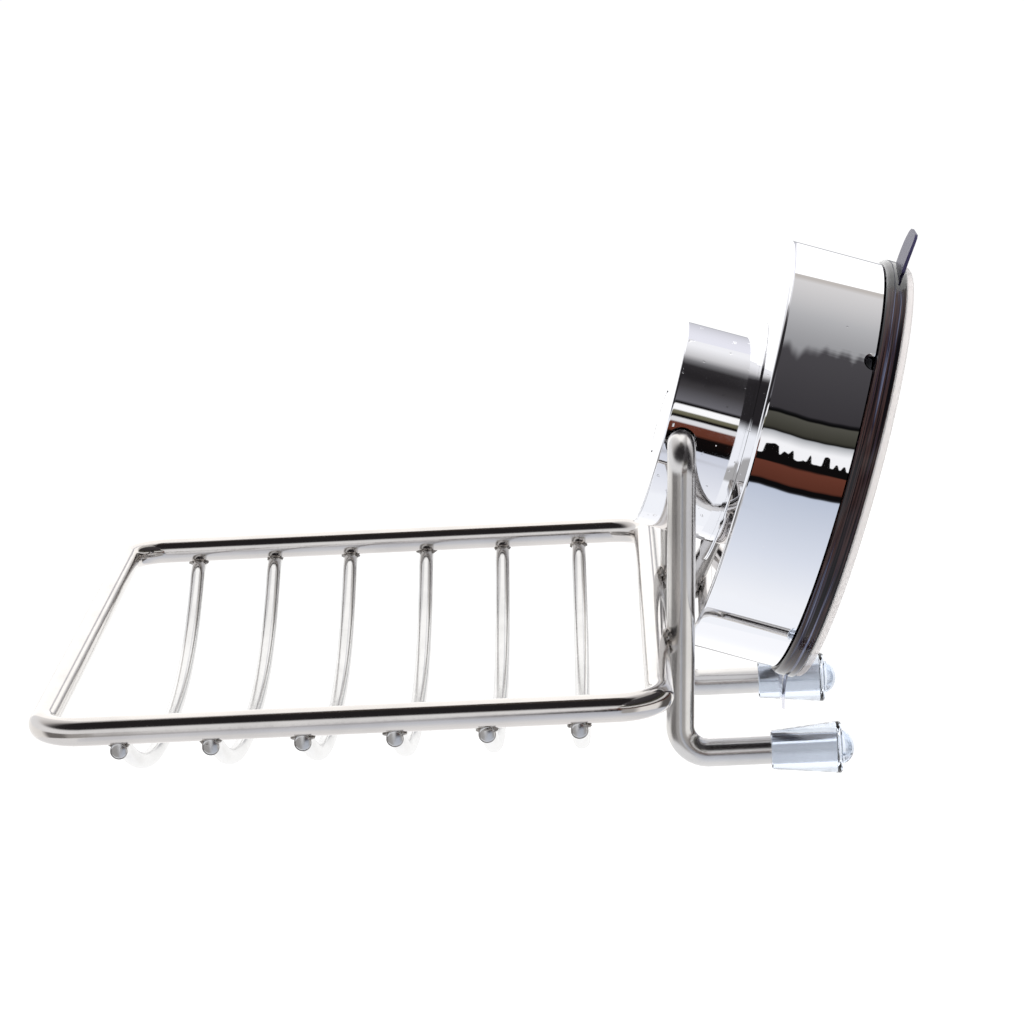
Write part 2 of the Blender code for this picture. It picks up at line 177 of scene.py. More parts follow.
class Graph:
    """The node tree of one material or of the world, written as expressions."""

    def __init__(self, tree: bpy.types.NodeTree) -> None:
        """Start from an empty tree."""
        self.tree = tree
        tree.nodes.clear()

    def plug(self, socket: bpy.types.NodeSocket, value: Any) -> None:
        """Link a value to a socket, or set the socket to a constant.

        Args:
            socket: The input to fill.
            value: A Value, a number, a colour or a vector.
        """
        if isinstance(value, Value):
            self.tree.links.new(value.socket, socket)
        elif isinstance(value, tuple) and socket.type == "RGBA":
            socket.default_value = (*value[:3], 1.0)
        else:
            socket.default_value = value

    def node(self, kind: str, settings: dict[str, Any] | None = None,
             sockets: dict[str | int, Any] | None = None) -> bpy.types.Node:
        """Add a node, set its settings first and then its sockets.

        Args:
            kind: The node's type.
            settings: The node's own settings; stops holds the places and colours of a ramp.
            sockets: Values or links by input name or number.

        Returns:
            The new node.
        """
        made = self.tree.nodes.new(kind)
        for name, value in (settings or {}).items():
            if name == "stops":
                self.fill_ramp(made.color_ramp, value)
            else:
                setattr(made, name, value)
        for key, value in (sockets or {}).items():
            self.plug(made.inputs[key], value)
        return made

    @staticmethod
    def fill_ramp(ramp: bpy.types.ColorRamp, stops: Sequence[tuple[float, Colour]]) -> None:
        """Give a colour ramp its stops.

        Args:
            ramp: The ramp to fill.
            stops: Pairs of place and colour.
        """
        while len(ramp.elements) < len(stops):
            ramp.elements.new(1.0)
        for element, (place, colour) in zip(ramp.elements, stops):
            element.position = place
            element.color = (*colour, 1.0)

    def out(self, node: bpy.types.Node, name: str | int = 0) -> Value:
        """Return one output of a node as a value."""
        return Value(self, node.outputs[name])

    def maths(self, operation: str, first: Value | float, second: Value | float = 0.0) -> Value:
        """Return the result of one Math node."""
        return self.out(self.node("ShaderNodeMath", {"operation": operation}, {0: first, 1: second}))

    def noise(self, place: Value, scale: float, detail: float) -> Value:
        """Return a noise between 0 and 1 at a place.

        Args:
            place: The vector that is looked up.
            scale: Waves per unit.
            detail: Number of finer layers.

        Returns:
            The noise value.
        """
        sockets = {"Vector": place, "Scale": scale, "Detail": detail}
        return self.out(self.node("ShaderNodeTexNoise", {}, sockets))

    def along(self, place: Value, axis: tuple[float, float, float]) -> Value:
        """Return how far a place lies along an axis."""
        node = self.node("ShaderNodeVectorMath", {"operation": "DOT_PRODUCT"}, {0: place, 1: axis})
        return self.out(node, "Value")

    def join(self, x: Value | float, y: Value | float = 0.0, z: Value | float = 0.0) -> Value:
        """Return a vector of three values."""
        return self.out(self.node("ShaderNodeCombineXYZ", {}, {0: x, 1: y, 2: z}))

    def ramp(self, value: Value, bands: Bands, start: float = 0.0, reach: float = 1.0) -> Value:
        """Return the colour of bands at a value.

        Args:
            value: The value that picks the colour.
            bands: Pairs of a value and its colour as seen, 0 to 255.
            start: The lowest value of the ramp.
            reach: How far the ramp goes above it.

        Returns:
            The colour.
        """
        stops = [((place - start) / reach, linear(*shade)) for place, shade in bands]
        share = (value - start) * (1.0 / reach)
        return self.out(self.node("ShaderNodeValToRGB", {"stops": stops}, {0: share}), "Color")

    def between(self, value: Value, low: float, high: float) -> Value:
        """Return 0 below low and 1 above high, with a smooth rise between them."""
        node = self.node("ShaderNodeMapRange", {"interpolation_type": "SMOOTHSTEP"},
                         {"Value": value, "From Min": low, "From Max": high})
        return self.out(node)

    def window(self, value: Value, rise: Edge, fall: Edge) -> Value:
        """Return 1 between a smooth rise and a smooth fall, and 0 outside them."""
        return self.between(value, *rise) * (1.0 - self.between(value, *fall))

    def mix(self, share: Value | float, first: Any, second: Any) -> Value:
        """Return a blend of two colours."""
        node = self.node("ShaderNodeMix", {"data_type": "RGBA"}, {0: share, 6: first, 7: second})
        return self.out(node, 2)

    def place(self) -> Value:
        """Return the surface's place in its object."""
        return self.out(self.node("ShaderNodeTexCoord"), "Object")

    def bump(self, height: Value, depth: float, normal: Value | None = None) -> Value:
        """Return a normal that is tilted by a height.

        Args:
            height: The height, 0 to 1.
            depth: How deep a height of one is, in metres.
            normal: A normal that is tilted already, or none.

        Returns:
            The normal.
        """
        sockets = {"Height": height, "Distance": depth, "Strength": 1.0}
        if normal:
            sockets["Normal"] = normal
        return self.out(self.node("ShaderNodeBump", {}, sockets))

    def principled(self, sockets: dict[str | int, Any]) -> Value:
        """Return a Principled shader with these sockets."""
        return self.out(self.node("ShaderNodeBsdfPrincipled", {}, sockets))

    def blend(self, share: Value | float, first: Value, second: Value) -> Value:
        """Return a blend of two shaders."""
        return self.out(self.node("ShaderNodeMixShader", {}, {0: share, 1: first, 2: second}))

    def finish(self, shader: Value) -> None:
        """End the tree in this shader."""
        self.node("ShaderNodeOutputMaterial", {}, {"Surface": shader})


def new_material(name: str) -> tuple[bpy.types.Material, Graph]:
    """Return a new material and its empty graph."""
    made = bpy.data.materials.new(name)
    made.use_nodes = True
    return made, Graph(made.node_tree)


# Finishes


@dataclass(frozen=True)
class Finish:
    """A material that is made once and shared by its pieces."""

    name: str
    colour: Colour
    roughness: float

    def material(self) -> bpy.types.Material:
        """Return this finish's material, made on its first use."""
        found = bpy.data.materials.get(self.name)
        if found:
            return found
        made, graph = new_material(self.name)
        made.diffuse_color = (*self.colour, 1.0)
        self.dress(graph)
        return made

    def dress(self, graph: Graph) -> None:
        """Write the finish's nodes."""
        graph.finish(graph.principled({"Base Color": self.colour, "Roughness": self.roughness}))


@dataclass(frozen=True)
class PolishedWire(Finish):
    """Polished stainless wire with a faint waviness and fine marks from drawing."""

    wave: float = 0.02 * MM
    wave_scale: float = 160.0
    cloud_scale: float = 90.0
    cloud_edge: Edge = (0.35, 0.75)
    cloud_shade: float = 0.9
    mark_scale: float = 2600.0
    mark_edge: Edge = (0.4, 0.8)
    mark_dull: float = 0.05

    def dress(self, graph: Graph) -> None:
        """Write the wire's nodes."""
        place = graph.place()
        cloud = graph.between(graph.noise(place, self.cloud_scale, 3.0), *self.cloud_edge)
        marks = graph.between(graph.noise(place, self.mark_scale, 2.0), *self.mark_edge)
        shade = tuple(self.cloud_shade * part for part in self.colour)
        graph.finish(graph.principled({
            "Base Color": graph.mix(cloud, self.colour, shade),
            "Metallic": 1.0,
            "Roughness": self.roughness + self.mark_dull * marks,
            "Normal": graph.bump(graph.noise(place, self.wave_scale, 1.0), self.wave),
        }))


@dataclass(frozen=True)
class ChromePlate(Finish):
    """Mirror chrome on moulded plastic, with a faint swell of the moulding and a few pits."""

    swell: float = 0.004 * MM
    pit: float = 0.02 * MM
    rare: float = 0.8
    swell_scale: float = 55.0
    pit_scale: float = 700.0
    pit_rim: float = 0.04
    pit_dull: float = 0.12

    def dress(self, graph: Graph) -> None:
        """Write the plate's nodes."""
        place = graph.place()
        smooth = graph.bump(graph.noise(place, self.swell_scale, 1.0), self.swell)
        pits = graph.between(graph.noise(place, self.pit_scale, 1.0), self.rare, self.rare + self.pit_rim)
        graph.finish(graph.principled({
            "Base Color": self.colour,
            "Metallic": 1.0,
            "Roughness": self.roughness + self.pit_dull * pits,
            "Normal": graph.bump(1.0 - pits, self.pit, normal=smooth),
        }))


@dataclass(frozen=True)
class ClearPlastic(Finish):
    """Clear soft plastic, faintly tinted, with a slightly wavy surface."""

    wave: float = 0.02 * MM
    ior: float = 1.45
    clearness: float = 1.0
    shine: float = 0.5
    cover: float = 1.0
    wave_scale: float = 400.0

    def dress(self, graph: Graph) -> None:
        """Write the plastic's nodes."""
        graph.finish(self.clear(graph))

    def clear(self, graph: Graph) -> Value:
        """Return the clear shader."""
        return graph.principled({
            "Base Color": self.colour,
            "Roughness": self.roughness,
            "IOR": self.ior,
            "Specular IOR Level": self.shine,
            "Alpha": self.cover,
            "Transmission Weight": self.clearness,
            "Normal": graph.bump(graph.noise(graph.place(), self.wave_scale, 1.0), self.wave),
        })


@dataclass(frozen=True)
class PadPlastic(ClearPlastic):
    """The pad's thick clear plastic, with painted dark reflections in fine rings over its moulded edge."""

    ring_scale: float = 2200.0
    drift_scale: float = 26.0
    # Colours of the painted dark reflections, in rings
    rings: Bands = ((0.3, (8, 8, 12)), (0.47, (22, 18, 22)), (0.55, (66, 48, 46)), (0.62, (28, 26, 42)),
                    (0.75, (120, 124, 150)))
    painted_reflection_roughness: float = 0.12
    painted_reflection_shine: float = 0.25
    clear_above: Edge = (36.6 * MM, 37.8 * MM)
    clear_below: Edge = (-38.8 * MM, -36.2 * MM)
    clear_below_share: float = 0.8

    def dress(self, graph: Graph) -> None:
        """Write the pad's nodes: painted dark reflections in rings, clear at the top and bottom of the pad.
        """
        place = graph.place()
        depth = graph.along(place, MOUNT_OUT) * self.ring_scale
        lift = graph.along(place, MOUNT_UP)
        side = graph.along(place, (0.0, 1.0, 0.0)) * self.drift_scale
        rings = graph.noise(graph.join(depth, lift * self.drift_scale, side), 1.0, 2.0)
        # Painted reflection: the dark surroundings seen in the clear edge, painted into the base colour
        dark = graph.principled({
            "Base Color": graph.ramp(rings, self.rings),
            "Roughness": self.painted_reflection_roughness,
            "Specular IOR Level": self.painted_reflection_shine,
            "Normal": graph.bump(rings, self.wave),
        })
        top = graph.between(lift, *self.clear_above)
        bottom = (1.0 - graph.between(lift, *self.clear_below)) * self.clear_below_share
        graph.finish(graph.blend(graph.maths("MAXIMUM", top, bottom), dark, self.clear(graph)))


@dataclass(frozen=True)
class MattePlastic(Finish):
    """Dull moulded plastic with a fine grain."""

    grain: float = 0.01 * MM
    grain_scale: float = 1500.0
    grain_shade: float = 1.4
    grain_dull: float = 0.15

    def dress(self, graph: Graph) -> None:
        """Write the plastic's nodes."""
        grain = graph.noise(graph.place(), self.grain_scale, 3.0)
        shade = tuple(self.grain_shade * part for part in self.colour)
        graph.finish(graph.principled({
            "Base Color": graph.mix(grain, self.colour, shade),
            "Roughness": self.roughness + self.grain_dull * grain,
            "Normal": graph.bump(grain, self.grain),
        }))


@dataclass(frozen=True)
class TurnedMetal(Finish):
    """Metal with the rings that a turning tool leaves."""

    ring: float = 0.01 * MM
    ring_scale: float = 700.0
    ring_dull: float = 0.1

    def dress(self, graph: Graph) -> None:
        """Write the metal's nodes."""
        rings = graph.noise(graph.place(), self.ring_scale, 2.0)
        graph.finish(graph.principled({
            "Base Color": self.colour,
            "Metallic": 1.0,
            "Roughness": self.roughness + self.ring_dull * rings,
            "Normal": graph.bump(rings, self.ring),
        }))


class Finishes:
    """All the finishes of the holder."""

    WIRE = PolishedWire("polished_wire", (0.68, 0.645, 0.615), 0.11)
    HANGER = PolishedWire("satin_wire", (0.7, 0.68, 0.66), 0.21)
    CROSS = PolishedWire("thin_wire", (0.66, 0.65, 0.64), 0.16)
    WELD = PolishedWire("weld_steel", (0.35, 0.33, 0.31), 0.3, 0.2 * MM)
    CUT = PolishedWire("sheared_wire_end", (0.42, 0.43, 0.46), 0.45, 0.1 * MM)
    CHROME = ChromePlate("mirror_chrome", (0.88, 0.88, 0.9), 0.006)
    HUB = ChromePlate("pitted_chrome", (0.88, 0.88, 0.9), 0.03, rare=0.72)
    CAP = ClearPlastic("clear_cap", (0.76, 0.81, 0.89), 0.03)
    # The pad's edge has painted dark reflections in its colour
    PAD = PadPlastic("clear_pad", (0.8, 0.8, 0.88), 0.05)
    # Painted shade: a dark colour with almost no shine stands in for the shade on the top tab; the bottom tab
    # is clear
    TAB = ClearPlastic("pull_tab", (0.05, 0.045, 0.1), 0.25, clearness=0.05, shine=0.05)
    FILM = ClearPlastic("tacky_film", (0.96, 0.89, 0.87), 0.3, clearness=0.0, shine=0.2, cover=0.45)
    BOSS = ClearPlastic("clear_boss", (0.86, 0.86, 0.93), 0.05)
    # Painted shadow: the black of the washer's rim stands in for the shaded gap between dial and hub
    WASHER = MattePlastic("washer_rim_painted_shadow", (0.012, 0.012, 0.014), 0.12)
    INNER = MattePlastic("black_inner", (0.05, 0.05, 0.06), 0.45)
    BRASS = TurnedMetal("turned_brass", (0.75, 0.55, 0.26), 0.25)
    STEEL = TurnedMetal("turned_steel", (0.66, 0.65, 0.64), 0.25)


# Mesh building


def put(name: str, data: bpy.types.ID) -> bpy.types.Object:
    """Return a new object with this data, linked into the scene."""
    item = bpy.data.objects.new(name, data)
    bpy.context.scene.collection.objects.link(item)
    return item


def rounded_path(corners: Sequence[Vector], bends: Sequence[float], cyclic: bool = False) -> list[Vector]:
    """Return a path through the corners with each bend rounded and no long steps.

    Args:
        corners: The corner points.
        bends: One bend radius for each corner; those of open ends aren't used.
        cyclic: Whether the path closes on itself.

    Returns:
        The points of the path.
    """
    count = len(corners)
    points = []
    for index, (corner, bend) in enumerate(zip(corners, bends)):
        if not cyclic and index in (0, count - 1):
            points.append(corner.copy())
            continue
        before = (corners[index - 1] - corner).normalized()
        after = (corners[(index + 1) % count] - corner).normalized()
        half = before.angle(after) / 2
        centre = corner + (before + after).normalized() * (bend / math.sin(half))
        start = (corner + before * (bend / math.tan(half)) - centre).normalized()
        finish = (corner + after * (bend / math.tan(half)) - centre).normalized()
        points += [centre + start.slerp(finish, step / BEND_STEPS) * bend for step in range(BEND_STEPS + 1)]
    return finer(points, WIRE_STEP, cyclic)


def finer(points: Sequence[Vector], reach: float, cyclic: bool) -> list[Vector]:
    """Return a path with extra points, so that no step is longer than a reach."""
    made = []
    ends = list(points) + ([points[0]] if cyclic else [])
    for start, end in zip(ends, ends[1:]):
        parts = max(1, math.ceil((end - start).length / reach))
        made += [start.lerp(end, part / parts) for part in range(parts)]
    return made if cyclic else made + [ends[-1].copy()]


def new_mesh(name: str, verts: Sequence[Vector], faces: Sequence[Sequence[int]]) -> bpy.types.Mesh:
    """Return a mesh of these points and faces, with every face turned outward."""
    mesh = bpy.data.meshes.new(name)
    mesh.from_pydata([tuple(vert) for vert in verts], [], [tuple(face) for face in faces])
    mesh.validate()
    work = bmesh.new()
    work.from_mesh(mesh)
    bmesh.ops.recalc_face_normals(work, faces=work.faces)
    work.to_mesh(mesh)
    work.free()
    return mesh


def sweep(name: str, path: Sequence[Vector], radius: float, sides: int, cyclic: bool = False,
          edge: float = 0.35 * MM) -> bpy.types.Mesh:
    """Return a round wire along a path, with the rims of its cut ends a little rounded.

    Args:
        name: Name of the mesh.
        path: The points of the wire's axis.
        radius: The wire's radius.
        sides: Points round the wire.
        cyclic: Whether the wire closes on itself.
        edge: Rounding of the rim of a cut end.

    Returns:
        The mesh; its two end faces have material number 1.
    """
    count = len(path)
    tangents = []
    for index in range(count):
        before = path[index - 1] if cyclic or index else path[index]
        after = path[(index + 1) % count] if cyclic or index < count - 1 else path[index]
        tangents.append((after - before).normalized())
    normal = tangents[0].orthogonal().normalized()
    rings = []
    for point, tangent in zip(path, tangents):
        normal = (normal - tangent * normal.dot(tangent)).normalized()
        rings.append((point, tangent, normal.copy(), radius))
    if not cyclic:
        head, tail = rings[0], rings[-1]
        lead = []
        trail = []
        for step in range(CUT_RIM_STEPS):
            turn = math.pi / 2 * step / CUT_RIM_STEPS
            size = radius - edge + edge * math.sin(turn)
            inset = edge * (1 - math.cos(turn))
            lead.append((head[0] + head[1] * inset, head[1], head[2], size))
            trail.append((tail[0] - tail[1] * inset, tail[1], tail[2], size))
        rings = lead + rings[1:-1] + trail[::-1]
    verts = []
    for point, tangent, normal, size in rings:
        other = tangent.cross(normal)
        for side in range(sides):
            turn = math.tau * side / sides
            verts.append(point + (normal * math.cos(turn) + other * math.sin(turn)) * size)
    faces = []
    total = len(rings)
    for ring in range(total if cyclic else total - 1):
        here = ring * sides
        there = (ring + 1) % total * sides
        for side in range(sides):
            following = (side + 1) % sides
            faces.append((here + side, here + following, there + following, there + side))
    if not cyclic:
        faces.append(tuple(reversed(range(sides))))
        faces.append(tuple(range((total - 1) * sides, total * sides)))
    mesh = new_mesh(name, verts, faces)
    if not cyclic:
        for polygon in list(mesh.polygons)[-2:]:
            polygon.material_index = 1
    return mesh


def turned(name: str, profile: Profile, steps: int, closed: bool = True) -> bpy.types.Mesh:
    """Turn a profile of radius and height about Z.

    Args:
        name: Name of the mesh.
        profile: Points of radius and height; an open profile starts and ends on the axis.
        steps: Points round the axis.
        closed: Whether the profile closes on itself.

    Returns:
        The mesh.
    """
    verts: list[Vector] = []
    starts = []
    for radius, height in profile:
        starts.append(len(verts))
        around = 1 if radius < ON_AXIS_R else steps
        for step in range(around):
            turn = math.tau * step / steps
            verts.append(Vector((radius * math.cos(turn), radius * math.sin(turn), height)))
    faces = []
    pairs = list(zip(range(len(profile)), range(1, len(profile))))
    if closed:
        pairs.append((len(profile) - 1, 0))
    for here, there in pairs:
        low_pole = profile[here][0] < ON_AXIS_R
        high_pole = profile[there][0] < ON_AXIS_R
        for step in range(steps):
            following = (step + 1) % steps
            low = [starts[here]] if low_pole else [starts[here] + following, starts[here] + step]
            high = [starts[there]] if high_pole else [starts[there] + step, starts[there] + following]
            faces.append(low + high)
    return new_mesh(name, verts, faces)


def arc(centre: tuple[float, float], radius: float, start: float, end: float, steps: int) -> Profile:
    """Return points on an arc between two angles in degrees."""
    turns = [math.radians(start + (end - start) * step / steps) for step in range(steps + 1)]
    return [(centre[0] + radius * math.cos(turn), centre[1] + radius * math.sin(turn)) for turn in turns]


def lump(name: str, centre: Vector, sizes: Vector, seed: int) -> bpy.types.Mesh:
    """Return a small uneven bead of weld metal.

    Args:
        name: Name of the mesh.
        centre: Middle of the bead.
        sizes: Half sizes along the three axes.
        seed: Number that sets the bead's bumps.

    Returns:
        The mesh.
    """
    rings, sides = 12, 20
    bump, fine_bump = 0.16, 0.6
    phases = np.random.default_rng(seed).uniform(0, math.tau, 4)
    falls = [math.pi * ring / rings for ring in range(rings + 1)]
    mesh = turned(name, [(math.sin(fall), math.cos(fall)) for fall in falls], sides, closed=False)
    poles = (0, len(mesh.vertices) - 1)
    for vert in mesh.vertices:
        swell = 1.0
        if vert.index not in poles:
            turn = math.atan2(vert.co.y, vert.co.x)
            fall = math.acos(vert.co.z)
            coarse = math.sin(2 * turn + phases[0]) * math.sin(3 * fall + phases[1])
            fine = math.sin(5 * turn + phases[2]) * math.sin(4 * fall + phases[3])
            swell += bump * (coarse + fine_bump * fine)
        vert.co = centre + vert.co * sizes * swell
    return mesh


def cut(mesh: bpy.types.Mesh, tools: Sequence[bpy.types.Mesh]) -> bpy.types.Mesh:
    """Return a mesh with tools cut from it, exactly.

    Args:
        mesh: The mesh to change.
        tools: The solids to cut away, in the same place.

    Returns:
        The changed mesh.
    """
    holder = put("work", mesh)
    helpers = [put("tool", tool) for tool in tools]
    for helper in helpers:
        change = holder.modifiers.new("change", "BOOLEAN")
        change.operation = "DIFFERENCE"
        change.solver = "EXACT"
        change.object = helper
    result = bpy.data.meshes.new_from_object(holder.evaluated_get(bpy.context.evaluated_depsgraph_get()))
    for item in [holder, *helpers]:
        bpy.data.objects.remove(item, do_unlink=True)
    return result


@dataclass
class Layout:
    """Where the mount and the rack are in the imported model."""

    frame: dict[str, Any]
    rise: float = 35.5 * MM
    lean: float = math.radians(2.7)
    hanger_x: float = 4.7 * MM
    mount: Matrix = field(init=False)
    pivot: Vector = field(init=False)

    def __post_init__(self) -> None:
        """Read the mount's axis and the rack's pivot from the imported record."""
        inward = Vector(self.frame["record"]["mounts"][0]["axis"]).normalized()
        out = -inward
        across = Vector((0.0, 1.0, 0.0))
        up = across.cross(out)
        self.mount = Matrix((up, across, out)).transposed().to_4x4()
        swing = next(joint for joint in self.frame["joints"] if joint["name"] == "rack_swing")
        self.pivot = Vector(swing["pos_m"])

    @property
    def end_x(self) -> float:
        """Return the place of the frame's end wire on the wall side."""
        return self.pivot.x - self.hanger_x - self.rise * math.tan(self.lean)

    @property
    def low(self) -> float:
        """Return the height of the frame's plane."""
        return self.pivot.z - self.rise


@dataclass
class Assembly:
    """A sub-assembly that adds pieces to the model."""

    layout: Layout

    def add(self, name: str, mesh: bpy.types.Mesh, finishes: Sequence[Finish], body: Body, slot: Slot,
            nodes: Sequence[str] = (), matrix: Matrix | None = None, sharp: float = 32.0) -> bpy.types.Object:
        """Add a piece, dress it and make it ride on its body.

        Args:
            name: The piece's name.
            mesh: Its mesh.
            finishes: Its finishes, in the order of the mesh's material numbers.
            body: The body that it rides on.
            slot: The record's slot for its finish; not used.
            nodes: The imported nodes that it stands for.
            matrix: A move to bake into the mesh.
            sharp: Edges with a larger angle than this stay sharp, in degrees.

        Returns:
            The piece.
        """
        if matrix:
            mesh.transform(matrix)
        mesh.name = name
        mesh.materials.clear()
        for finish in finishes:
            mesh.materials.append(finish.material())
        mesh.shade_smooth()
        mesh.set_sharp_from_angle(angle=math.radians(sharp))
        piece = put(name, mesh)
        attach(piece, body.value)
        if nodes:
            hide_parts(*nodes)
        LOG.info("piece %s on %s with %d faces", name, body.value, len(mesh.polygons))
        return piece

    def build(self) -> None:
        """Add all the pieces of the sub-assembly."""
        raise NotImplementedError


@dataclass
class Rack(Assembly):
    """The wire frame, the sagging cross wires under it and their welds."""

    length: float = 107.0 * MM
    width: float = 140.0 * MM
    rail: float = 5.0 * MM
    corner: float = 7.5 * MM
    count: int = 6
    pitch: float = 15.8 * MM
    cross: float = 3.0 * MM
    weld_depth: float = 1.0 * MM
    sag: float = 15.0 * MM
    sag_power: float = 2.4
    reach: float = 1.5 * MM
    shoulder: float = 3.0 * MM
    bend: float = 2.5 * MM
    clearance: float = 0.3 * MM
    weld_sizes: tuple[float, float, float] = (1.9 * MM, 1.5 * MM, 0.75 * MM)
    weld_drop: float = 0.1 * MM
    rail_sides: int = 48
    cross_sides: int = 32
    cross_steps: int = 160

    def depth(self, y: float) -> float:
        """Return how far a cross wire's axis hangs below the rails."""
        drop = (self.rail + self.cross) / 2 + self.clearance - self.weld_depth
        share = min(abs(y) / (self.width / 2 - self.shoulder), 1.0)
        return drop + self.sag * (1.0 - share ** self.sag_power)

    def cross_path(self, x: float) -> list[Vector]:
        """Return the axis of the cross wire at one place along the rack."""
        half = self.width / 2 + self.reach
        points = []
        for step in range(self.cross_steps + 1):
            y = -half * math.cos(math.pi * step / self.cross_steps)
            lifts = [self.depth(y + shift * self.bend) for shift in (-1.0, -0.5, 0.0, 0.5, 1.0)]
            points.append(Vector((x, y, self.layout.low - sum(lifts) / len(lifts))))
        return points

    def build(self) -> None:
        """Add the frame, the cross wires and the welds."""
        half = self.width / 2
        end_x = self.layout.end_x
        low = self.layout.low
        corners = [Vector((end_x, -half, low)), Vector((end_x - self.length, -half, low)),
                   Vector((end_x - self.length, half, low)), Vector((end_x, half, low))]
        loop = rounded_path(corners, [self.corner] * len(corners), cyclic=True)
        frame = sweep("frame_wire", loop, self.rail / 2, self.rail_sides, cyclic=True)
        self.add("frame_wire", frame, [Finishes.WIRE], Body.RACK, Slot.WIRE, ["tray_frame"])
        first = end_x - self.length / 2 - self.pitch * (self.count - 1) / 2
        for index in range(self.count):
            x = first + self.pitch * index
            name = f"basin_wire_{index + 1}"
            wire = sweep(name, self.cross_path(x), self.cross / 2, self.cross_sides)
            self.add(name, wire, [Finishes.CROSS, Finishes.CUT], Body.RACK, Slot.WIRE,
                     [f"cross_wire_{index + 1}"])
            for side in Side:
                self.weld(index, x, side)

    def weld(self, index: int, x: float, side: Side) -> None:
        """Add the bead where a cross wire meets a rail."""
        centre = Vector((x, side.value * self.width / 2, self.layout.low - self.rail / 2 - self.weld_drop))
        name = f"weld_{index + 1}_{side.word}"
        bead = lump(name, centre, Vector(self.weld_sizes), 10 * index + side.value + 1)
        self.add(name, bead, [Finishes.WELD], Body.RACK, Slot.WIRE)


@dataclass
class Hanger(Assembly):
    """One hanger wire, from its pin in the hub to its foot, with the clear cap on the foot."""

    side: Side = Side.NEAR
    wire: float = 5.2 * MM
    spacing: float = 50.4 * MM
    pin_bend: float = 4.6 * MM
    pin_reach: float = 15.4 * MM
    drop: float = 21.5 * MM
    foot: float = 28.9 * MM
    foot_bend: float = 5.2 * MM
    cap_length: float = 12.9 * MM
    cap_fit: float = 0.1 * MM
    cap_wall: float = 0.65 * MM
    cap_flare: float = 1.25 * MM
    cap_floor: float = 0.4 * MM
    cap_inner_edge: float = 0.4 * MM
    cap_lead_in: float = 0.25 * MM
    cap_lip: float = 0.2 * MM
    cap_outer_edge: float = 0.3 * MM
    dome: float = 3.1 * MM
    dome_rise: float = 2.4 * MM
    dome_steps: int = 12
    clearance: float = 0.3 * MM
    weld_sizes: tuple[float, float, float] = (0.9 * MM, 2.2 * MM, 1.0 * MM)
    weld_rise: float = 1.3 * MM
    weld_seed: int = 90
    wire_sides: int = 48

    @property
    def y(self) -> float:
        """Return the place of the leg across the rack."""
        return self.side.value * self.spacing / 2

    @property
    def foot_x(self) -> float:
        """Return where the leg's axis meets the foot's axis, from the pivot."""
        return self.foot_z * math.tan(self.layout.lean)

    @property
    def foot_z(self) -> float:
        """Return the height of the foot, from the pivot."""
        return -self.layout.rise - self.drop

    def build(self) -> None:
        """Add the wire, its weld to the frame and the cap."""
        pivot = self.layout.pivot
        inward = Vector((0.0, self.y - self.side.value * self.pin_reach, 0.0))
        corners = [inward, Vector((0.0, self.y, 0.0)), Vector((self.foot_x, self.y, self.foot_z)),
                   Vector((self.foot_x + self.foot, self.y, self.foot_z))]
        bends = [0.0, self.pin_bend, self.foot_bend, 0.0]
        path = rounded_path([pivot + corner for corner in corners], bends)
        name = f"hanger_{self.side.word}"
        self.add(name, sweep(name, path, self.wire / 2, self.wire_sides), [Finishes.HANGER, Finishes.CUT],
                 Body.RACK, Slot.WIRE, [f"hanger_wire_{self.side.word}"])
        self.weld()
        self.cap(pivot)

    def weld(self) -> None:
        """Add the two beads where the leg crosses the end wire."""
        x = self.layout.end_x + self.layout.hanger_x / 2
        for index, way in enumerate((1.0, -1.0)):
            centre = Vector((x, self.y, self.layout.low + way * self.weld_rise))
            name = f"hanger_weld_{self.side.word}_{index + 1}"
            bead = lump(name, centre, Vector(self.weld_sizes), self.weld_seed + index)
            self.add(name, bead, [Finishes.WELD], Body.RACK, Slot.WIRE)

    def cap(self, pivot: Vector) -> None:
        """Add the tapered cap with its domed end."""
        bore = self.wire / 2 + self.cap_fit
        mouth = self.wire / 2 + self.clearance + self.cap_wall
        tip = mouth + self.cap_flare
        inner = self.cap_length - self.cap_floor
        profile = [(0.0, inner), (bore - self.cap_inner_edge, inner), (bore, inner - self.cap_inner_edge),
                   (bore, self.cap_lead_in), (bore + self.cap_lip, 0.0), (mouth - self.cap_lip, 0.0),
                   (mouth, self.cap_lip), (tip, self.cap_length - self.cap_outer_edge),
                   (tip - self.cap_outer_edge, self.cap_length)]
        for step in range(self.dome_steps):
            turn = math.pi / 2 * step / self.dome_steps
            profile.append((self.dome * math.cos(turn), self.cap_length + self.dome_rise * math.sin(turn)))
        profile.append((0.0, self.cap_length + self.dome_rise))
        place = pivot + Vector((self.foot_x + self.foot + self.clearance - inner, self.y, self.foot_z))
        matrix = Matrix.Translation(place) @ Matrix.Rotation(math.pi / 2, 4, "Y")
        name = f"cap_{self.side.word}"
        mesh = turned(name, profile, MIDDLE_TURN, closed=False)
        self.add(name, mesh, [Finishes.CAP], Body.RACK, Slot.CLEAR, [f"foot_cap_{self.side.word}"], matrix)


@dataclass
class Mount(Assembly):
    """Distances along the mount's axis that its sub-assemblies share."""

    clearance: float = 0.3 * MM
    film_t: float = 1.2 * MM
    pad_t: float = 3.8 * MM
    dial_depth: float = 17.4 * MM
    washer_t: float = 0.5 * MM
    hub_length: float = 13.4 * MM

    @property
    def pad_back(self) -> float:
        """Return the height of the pad's back."""
        return self.film_t + self.clearance

    @property
    def dial_back(self) -> float:
        """Return the height of the dial's back rim."""
        return self.pad_back + self.pad_t + self.clearance

    @property
    def dial_front(self) -> float:
        """Return the height of the dial's front face."""
        return self.dial_back + self.dial_depth

    @property
    def hub_back(self) -> float:
        """Return the height of the hub's back."""
        return self.dial_front + 2 * self.clearance + self.washer_t


